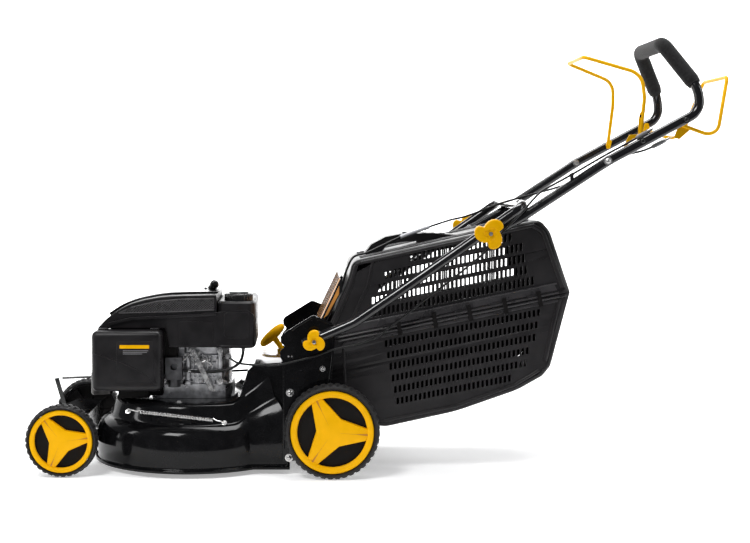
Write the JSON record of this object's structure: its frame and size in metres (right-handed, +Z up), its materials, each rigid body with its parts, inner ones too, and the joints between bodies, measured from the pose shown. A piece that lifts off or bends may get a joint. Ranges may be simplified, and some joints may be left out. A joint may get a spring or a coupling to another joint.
{
  "type": "walk-behind lawn mower",
  "caption": "Petrol rotary lawn mower with a pressed deck, driven rear wheels, folding tube handle with brake and drive bails, and a rear grass box.",
  "frame": {"origin": "on the ground under the centre of the whole mower's bounding box", "axes": "+X towards the handle, -X is the front of the mower, +Z up, -Y is the mower's left side"},
  "size_m": [1.6163, 0.499, 1.002],
  "materials": {
    "gloss_black": "gloss black paint",
    "plastic": "grained black moulding",
    "yellow": "yellow moulding",
    "yellow_steel": "yellow coated rod",
    "black_plastic_gloss": "gloss black moulding",
    "rubber": "matt",
    "tyre": "matt tread blocks",
    "foam": "foam sleeve",
    "cast": "as cast",
    "steel": "zinc plated",
    "cable": "black outer sheath"
  },
  "bodies": {
    "chassis": {"deck_shell": "gloss_black", "discharge_chute": "gloss_black", "side_plate_left": "gloss_black", "side_plate_right": "gloss_black", "front_frame": "gloss_black", "engine_sump": "cast", "engine_block": "cast", "cylinder_head": "cast", "spark_plug": "steel", "muffler": "steel", "carburettor": "cast", "air_filter_cover": "plastic", "blower_housing": "plastic", "shroud_top_cover": "black_plastic_gloss", "fuel_tank": "plastic", "fuel_hose": "cable", "gearbox": "cast", "drive_belt": "rubber", "height_spring": "steel", "brake_cable_lower": "cable", "drive_cable_lower": "cable"},
    "rotor": {"crankshaft": "steel", "flywheel": "cast", "blade_adapter": "cast", "blade": "steel", "blade_bolt": "steel"},
    "starter_pulley": {"recoil_pulley": "plastic"},
    "starter_pull": {"starter_grip": "plastic"},
    "filler_cap": {"fuel_cap": "plastic"},
    "oil_stick": {"dipstick": "yellow"},
    "drive_pulley": {"gearbox_pulley": "plastic"},
    "drive_axle": {"drive_shaft": "steel"},
    "rear_crank": {"rear_axle_crank": "steel", "height_knob": "yellow"},
    "front_crank": {"front_axle_crank": "steel"},
    "height_link": {"tie_rod": "steel"},
    "wheel_rear_left": {"rear_wheel_left_hub": "yellow", "rear_wheel_left_tyre": "tyre"},
    "wheel_rear_right": {"rear_wheel_right_hub": "yellow", "rear_wheel_right_tyre": "tyre"},
    "wheel_front_left": {"front_wheel_left_hub": "yellow", "front_wheel_left_tyre": "tyre"},
    "wheel_front_right": {"front_wheel_right_hub": "yellow", "front_wheel_right_tyre": "tyre"},
    "handle_lower": {"lower_handle": "gloss_black"},
    "handle_upper": {"upper_handle": "gloss_black", "foam_grip": "foam", "brake_cable_upper": "cable", "drive_cable_upper": "cable"},
    "knob_lower_left": {"lower_knob_left": "yellow"},
    "knob_lower_right": {"lower_knob_right": "yellow"},
    "knob_upper_left": {"upper_knob_left": "yellow"},
    "knob_upper_right": {"upper_knob_right": "yellow"},
    "bail_brake": {"brake_bail": "yellow_steel"},
    "bail_drive": {"drive_bail": "yellow_steel"},
    "flap": {"rear_flap": "black_plastic_gloss"},
    "grass_box": {"box_upper_shell": "plastic", "box_lower_shell": "plastic", "box_handle": "plastic"}
  },
  "joints": [
    {"name": "engine_spin", "type": "hinge", "parent": "chassis", "child": "rotor", "pos_m": [-0.44, 0, 0.1], "axis": [0, 0, 1], "continuous": true},
    {"name": "starter_pull", "type": "slide", "parent": "chassis", "child": "starter_pull", "axis": [0.6428, 0, 0.766], "range_m": [0, 0.5]},
    {"name": "starter_spin", "type": "hinge", "parent": "chassis", "child": "starter_pulley", "pos_m": [-0.44, 0, 0.3675], "axis": [0, 0, 1], "range_deg": [0, 800]},
    {"name": "fuel_cap_turn", "type": "hinge", "parent": "chassis", "child": "filler_cap", "pos_m": [-0.3278, -0.092, 0.4], "axis": [0, 0, 1], "continuous": true},
    {"name": "dipstick_turn", "type": "hinge", "parent": "chassis", "child": "oil_stick", "pos_m": [-0.4, 0.106, 0.275], "axis": [0, 0, 1], "continuous": true},
    {"name": "drive_pulley_spin", "type": "hinge", "parent": "chassis", "child": "drive_pulley", "pos_m": [-0.172, 0, 0.14], "axis": [0, 0, 1], "continuous": true},
    {"name": "drive_axle_spin", "type": "hinge", "parent": "chassis", "child": "drive_axle", "pos_m": [-0.162, 0, 0.101], "axis": [0, 1, 0], "continuous": true},
    {"name": "height_adjust", "type": "hinge", "parent": "chassis", "child": "rear_crank", "pos_m": [-0.162, 0, 0.101], "axis": [0, 1, 0], "range_deg": [0, 42], "deforming": ["height_spring"]},
    {"name": "front_height", "type": "hinge", "parent": "chassis", "child": "front_crank", "pos_m": [-0.776, 0, 0.0755], "axis": [0, 1, 0], "range_deg": [0, 42]},
    {"name": "height_link_pivot", "type": "hinge", "parent": "rear_crank", "child": "height_link", "pos_m": [-0.1875, 0.168, 0.196], "axis": [0, 1, 0], "range_deg": [-42, 0]},
    {"name": "rear_left_roll", "type": "hinge", "parent": "rear_crank", "child": "wheel_rear_left", "pos_m": [-0.112, -0.226, 0.108], "axis": [0, 1, 0], "continuous": true},
    {"name": "rear_right_roll", "type": "hinge", "parent": "rear_crank", "child": "wheel_rear_right", "pos_m": [-0.112, 0.226, 0.108], "axis": [0, 1, 0], "continuous": true},
    {"name": "front_left_roll", "type": "hinge", "parent": "front_crank", "child": "wheel_front_left", "pos_m": [-0.726, -0.203, 0.0825], "axis": [0, 1, 0], "continuous": true},
    {"name": "front_right_roll", "type": "hinge", "parent": "front_crank", "child": "wheel_front_right", "pos_m": [-0.726, 0.203, 0.0825], "axis": [0, 1, 0], "continuous": true},
    {"name": "handle_fold", "type": "hinge", "parent": "chassis", "child": "handle_lower", "pos_m": [-0.1527, 0, 0.311], "axis": [0, -1, 0], "range_deg": [0, 110], "deforming": ["brake_cable_lower", "drive_cable_lower"]},
    {"name": "upper_fold", "type": "hinge", "parent": "handle_lower", "child": "handle_upper", "pos_m": [0.2413, 0, 0.5537], "axis": [0, 1, 0], "range_deg": [0, 75], "deforming": ["brake_cable_upper", "drive_cable_upper"]},
    {"name": "lower_knob_left_turn", "type": "hinge", "parent": "handle_lower", "child": "knob_lower_left", "pos_m": [-0.1527, -0.226, 0.311], "axis": [0, 1, 0], "continuous": true},
    {"name": "lower_knob_right_turn", "type": "hinge", "parent": "handle_lower", "child": "knob_lower_right", "pos_m": [-0.1527, 0.226, 0.311], "axis": [0, 1, 0], "continuous": true},
    {"name": "upper_knob_left_turn", "type": "hinge", "parent": "handle_lower", "child": "knob_upper_left", "pos_m": [0.2413, -0.226, 0.5537], "axis": [0, 1, 0], "continuous": true},
    {"name": "upper_knob_right_turn", "type": "hinge", "parent": "handle_lower", "child": "knob_upper_right", "pos_m": [0.2413, 0.226, 0.5537], "axis": [0, 1, 0], "continuous": true},
    {"name": "brake_bail_squeeze", "type": "hinge", "parent": "handle_upper", "child": "bail_brake", "pos_m": [0.5872, 0, 0.761], "axis": [0, 1, 0], "range_deg": [0, 40], "stiffness_Nm_per_rad": 1.5, "springref_deg": -20.05},
    {"name": "drive_bail_squeeze", "type": "hinge", "parent": "handle_upper", "child": "bail_drive", "pos_m": [0.6839, 0, 0.809], "axis": [0, -1, 0], "range_deg": [0, 40], "stiffness_Nm_per_rad": 1.5, "springref_deg": -20.05},
    {"name": "flap_lift", "type": "hinge", "parent": "chassis", "child": "flap", "pos_m": [-0.143, 0, 0.324], "axis": [0, -1, 0], "range_deg": [0, 35], "stiffness_Nm_per_rad": 1, "springref_deg": -28.65},
    {"name": "box_slide_out", "type": "slide", "parent": "chassis", "child": "grass_box", "axis": [0.9962, 0, 0.0872], "range_m": [0, 0.2]}
  ],
  "couplings": [
    {"joint": "drive_pulley_spin", "follows": "engine_spin", "ratio": 0.5928},
    {"joint": "front_height", "follows": "height_adjust", "ratio": 1},
    {"joint": "height_link_pivot", "follows": "height_adjust", "ratio": -1},
    {"joint": "starter_spin", "follows": "starter_pull", "rad_per_m": 27.7}
  ]
}
